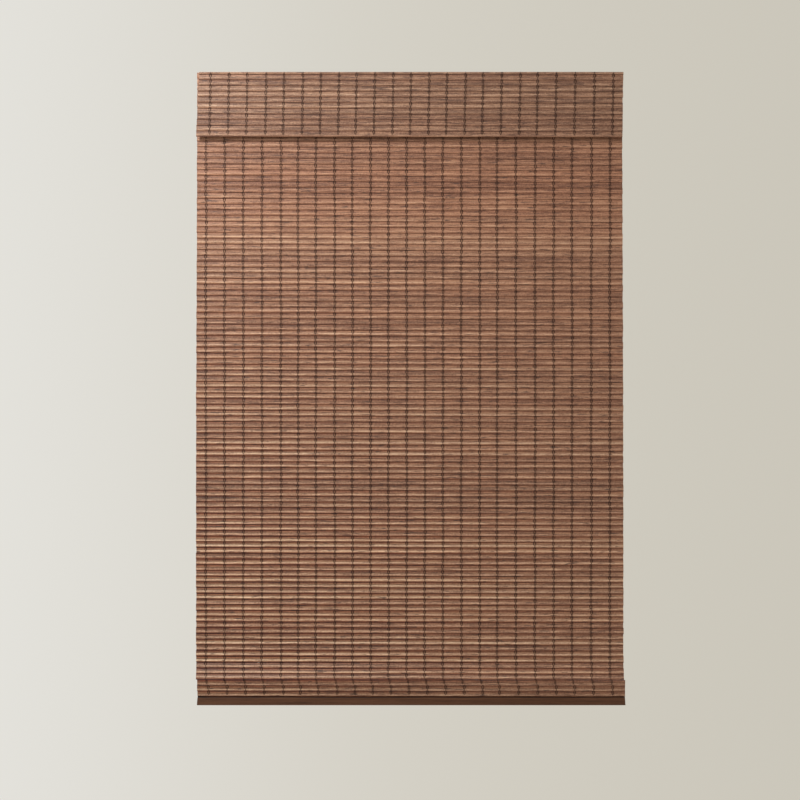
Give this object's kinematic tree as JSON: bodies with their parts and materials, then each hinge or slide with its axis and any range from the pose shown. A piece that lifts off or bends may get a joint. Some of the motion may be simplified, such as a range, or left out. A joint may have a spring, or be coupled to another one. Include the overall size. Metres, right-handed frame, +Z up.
{
  "type": "bamboo roman shade",
  "caption": "Cordless roman shade of flat bamboo slats on brown warp threads, with a woven valance, a metal head rail and a stained wooden bottom rail; it folds forward as it is raised.",
  "frame": {"origin": "centre of the four bracket screw holes, on the brackets' top faces, where they meet the lintel", "axes": "+X along the head rail to the right seen from the room, +Y towards the window, +Z up"},
  "size_m": [1.0185, 0.0716, 1.5041],
  "materials": {
    "bamboo_slats": "flat bamboo strips, stained warm brown, satin",
    "warp_thread": "twisted dark brown thread in chain stitch",
    "stained_wood": "dark stained, satin",
    "batten_wood": "bare pine",
    "rail_enamel": "white baked enamel",
    "zinc_steel": "zinc plated",
    "spring_steel": "tempered blue-grey",
    "moulded_plastic": "white moulded plastic",
    "ring_plastic": "translucent natural plastic",
    "lift_cord": "braided taupe cord",
    "fastening_tape": "hook and loop tape"
  },
  "bodies": {
    "head_rail": {"head_rail": "rail_enamel", "head_rail_cap_left": "moulded_plastic", "head_rail_cap_right": "moulded_plastic", "bracket_left": "zinc_steel", "bracket_right": "zinc_steel", "lever_rivets": "zinc_steel", "cord_grommets": "moulded_plastic", "spool_cradles": "moulded_plastic", "motor_housing": "moulded_plastic", "motor_cover": "moulded_plastic", "spring_ribbon": "spring_steel", "hook_tape": "fastening_tape", "loop_tape": "fastening_tape", "top_mat": "bamboo_slats", "top_threads": "warp_thread", "valance_batten": "batten_wood", "batten_screws": "zinc_steel", "valance_mat": "bamboo_slats", "valance_threads": "warp_thread", "lift_cords": "lift_cord"},
    "fold_1_upper": {"mat_upper_1": "bamboo_slats", "threads_upper_1": "warp_thread"},
    "fold_1_lower": {"mat_lower_1": "bamboo_slats", "threads_lower_1": "warp_thread"},
    "rings_1": {"lift_rings_1": "ring_plastic"},
    "fold_2_upper": {"mat_upper_2": "bamboo_slats", "threads_upper_2": "warp_thread"},
    "fold_2_lower": {"mat_lower_2": "bamboo_slats", "threads_lower_2": "warp_thread"},
    "rings_2": {"lift_rings_2": "ring_plastic"},
    "fold_3_upper": {"mat_upper_3": "bamboo_slats", "threads_upper_3": "warp_thread"},
    "fold_3_lower": {"mat_lower_3": "bamboo_slats", "threads_lower_3": "warp_thread"},
    "rings_3": {"lift_rings_3": "ring_plastic"},
    "fold_4_upper": {"mat_upper_4": "bamboo_slats", "threads_upper_4": "warp_thread"},
    "fold_4_lower": {"mat_lower_4": "bamboo_slats", "threads_lower_4": "warp_thread"},
    "rings_4": {"lift_rings_4": "ring_plastic"},
    "fold_5_upper": {"mat_upper_5": "bamboo_slats", "threads_upper_5": "warp_thread"},
    "fold_5_lower": {"mat_lower_5": "bamboo_slats", "threads_lower_5": "warp_thread"},
    "rings_5": {"lift_rings_5": "ring_plastic"},
    "fold_6_upper": {"mat_upper_6": "bamboo_slats", "threads_upper_6": "warp_thread"},
    "fold_6_lower": {"mat_lower_6": "bamboo_slats", "threads_lower_6": "warp_thread"},
    "bottom_rail": {"bottom_rail": "stained_wood", "tail_slat": "bamboo_slats", "cord_anchors": "moulded_plastic", "anchor_screws": "zinc_steel"},
    "lift_shaft": {"lift_shaft": "zinc_steel", "cord_spools": "moulded_plastic", "output_drum": "moulded_plastic"},
    "storage_drum": {"storage_drum": "moulded_plastic"},
    "lever_left": {"lever_left": "zinc_steel"},
    "lever_right": {"lever_right": "zinc_steel"}
  },
  "joints": [
    {"name": "raise_shade", "type": "hinge", "parent": "head_rail", "child": "fold_1_upper", "pos_m": [0, -0.03015, -0.1788], "axis": [-1, 0, 0], "range_deg": [0, 84], "deforming": ["lift_cords"]},
    {"name": "fold_1_lower_hinge", "type": "hinge", "parent": "fold_1_upper", "child": "fold_1_lower", "pos_m": [0, -0.02425, -0.3012], "axis": [1, 0, 0], "range_deg": [0, 168]},
    {"name": "rings_1_swing", "type": "hinge", "parent": "fold_1_lower", "child": "rings_1", "pos_m": [0, -0.03015, -0.4236], "axis": [-1, 0, 0], "range_deg": [0, 84]},
    {"name": "fold_2_upper_hinge", "type": "hinge", "parent": "fold_1_lower", "child": "fold_2_upper", "pos_m": [0, -0.03015, -0.4236], "axis": [-1, 0, 0], "range_deg": [0, 168]},
    {"name": "fold_2_lower_hinge", "type": "hinge", "parent": "fold_2_upper", "child": "fold_2_lower", "pos_m": [0, -0.02425, -0.546], "axis": [1, 0, 0], "range_deg": [0, 168]},
    {"name": "rings_2_swing", "type": "hinge", "parent": "fold_2_lower", "child": "rings_2", "pos_m": [0, -0.03015, -0.6684], "axis": [-1, 0, 0], "range_deg": [0, 84]},
    {"name": "fold_3_upper_hinge", "type": "hinge", "parent": "fold_2_lower", "child": "fold_3_upper", "pos_m": [0, -0.03015, -0.6684], "axis": [-1, 0, 0], "range_deg": [0, 168]},
    {"name": "fold_3_lower_hinge", "type": "hinge", "parent": "fold_3_upper", "child": "fold_3_lower", "pos_m": [0, -0.02425, -0.7908], "axis": [1, 0, 0], "range_deg": [0, 168]},
    {"name": "rings_3_swing", "type": "hinge", "parent": "fold_3_lower", "child": "rings_3", "pos_m": [0, -0.03015, -0.9132], "axis": [-1, 0, 0], "range_deg": [0, 84]},
    {"name": "fold_4_upper_hinge", "type": "hinge", "parent": "fold_3_lower", "child": "fold_4_upper", "pos_m": [0, -0.03015, -0.9132], "axis": [-1, 0, 0], "range_deg": [0, 168]},
    {"name": "fold_4_lower_hinge", "type": "hinge", "parent": "fold_4_upper", "child": "fold_4_lower", "pos_m": [0, -0.02425, -1.0356], "axis": [1, 0, 0], "range_deg": [0, 168]},
    {"name": "rings_4_swing", "type": "hinge", "parent": "fold_4_lower", "child": "rings_4", "pos_m": [0, -0.03015, -1.158], "axis": [-1, 0, 0], "range_deg": [0, 84]},
    {"name": "fold_5_upper_hinge", "type": "hinge", "parent": "fold_4_lower", "child": "fold_5_upper", "pos_m": [0, -0.03015, -1.158], "axis": [-1, 0, 0], "range_deg": [0, 168]},
    {"name": "fold_5_lower_hinge", "type": "hinge", "parent": "fold_5_upper", "child": "fold_5_lower", "pos_m": [0, -0.02425, -1.2804], "axis": [1, 0, 0], "range_deg": [0, 168]},
    {"name": "rings_5_swing", "type": "hinge", "parent": "fold_5_lower", "child": "rings_5", "pos_m": [0, -0.03015, -1.4028], "axis": [-1, 0, 0], "range_deg": [0, 84]},
    {"name": "fold_6_upper_hinge", "type": "hinge", "parent": "fold_5_lower", "child": "fold_6_upper", "pos_m": [0, -0.03015, -1.4028], "axis": [-1, 0, 0], "range_deg": [0, 153]},
    {"name": "fold_6_lower_hinge", "type": "hinge", "parent": "fold_6_upper", "child": "fold_6_lower", "pos_m": [0, -0.03501, -1.44374], "axis": [1, 0, 0], "range_deg": [0, 138]},
    {"name": "bottom_rail_swing", "type": "hinge", "parent": "fold_6_lower", "child": "bottom_rail", "pos_m": [0, -0.03015, -1.48467], "axis": [-1, 0, 0], "range_deg": [0, 69]},
    {"name": "lift_shaft_turn", "type": "hinge", "parent": "head_rail", "child": "lift_shaft", "pos_m": [0, -0.0065, -0.0188], "axis": [-1, 0, 0], "range_deg": [0, 7238]},
    {"name": "storage_drum_turn", "type": "hinge", "parent": "head_rail", "child": "storage_drum", "pos_m": [0, 0.0107, -0.0188], "axis": [1, 0, 0], "range_deg": [0, 6514]},
    {"name": "lever_left_turn", "type": "hinge", "parent": "head_rail", "child": "lever_left", "pos_m": [-0.414, 0, -0.00255], "axis": [0, 0, -1], "range_deg": [0, 90]},
    {"name": "lever_right_turn", "type": "hinge", "parent": "head_rail", "child": "lever_right", "pos_m": [0.414, 0, -0.00255], "axis": [0, 0, 1], "range_deg": [0, 90]}
  ],
  "couplings": [
    {"joint": "fold_1_lower_hinge", "follows": "raise_shade", "ratio": 2},
    {"joint": "rings_1_swing", "follows": "raise_shade", "ratio": 1},
    {"joint": "fold_2_upper_hinge", "follows": "raise_shade", "ratio": 2},
    {"joint": "fold_2_lower_hinge", "follows": "raise_shade", "ratio": 2},
    {"joint": "rings_2_swing", "follows": "raise_shade", "ratio": 1},
    {"joint": "fold_3_upper_hinge", "follows": "raise_shade", "ratio": 2},
    {"joint": "fold_3_lower_hinge", "follows": "raise_shade", "ratio": 2},
    {"joint": "rings_3_swing", "follows": "raise_shade", "ratio": 1},
    {"joint": "fold_4_upper_hinge", "follows": "raise_shade", "ratio": 2},
    {"joint": "fold_4_lower_hinge", "follows": "raise_shade", "ratio": 2},
    {"joint": "rings_4_swing", "follows": "raise_shade", "ratio": 1},
    {"joint": "fold_5_upper_hinge", "follows": "raise_shade", "ratio": 2},
    {"joint": "fold_5_lower_hinge", "follows": "raise_shade", "ratio": 2},
    {"joint": "rings_5_swing", "follows": "raise_shade", "ratio": 1},
    {"joint": "fold_6_upper_hinge", "follows": "raise_shade", "ratio": 1.8214},
    {"joint": "fold_6_lower_hinge", "follows": "raise_shade", "ratio": 1.6429},
    {"joint": "bottom_rail_swing", "follows": "raise_shade", "ratio": 0.82143},
    {"joint": "lift_shaft_turn", "follows": "raise_shade", "ratio": 86.167},
    {"joint": "storage_drum_turn", "follows": "raise_shade", "ratio": 77.548}
  ]
}
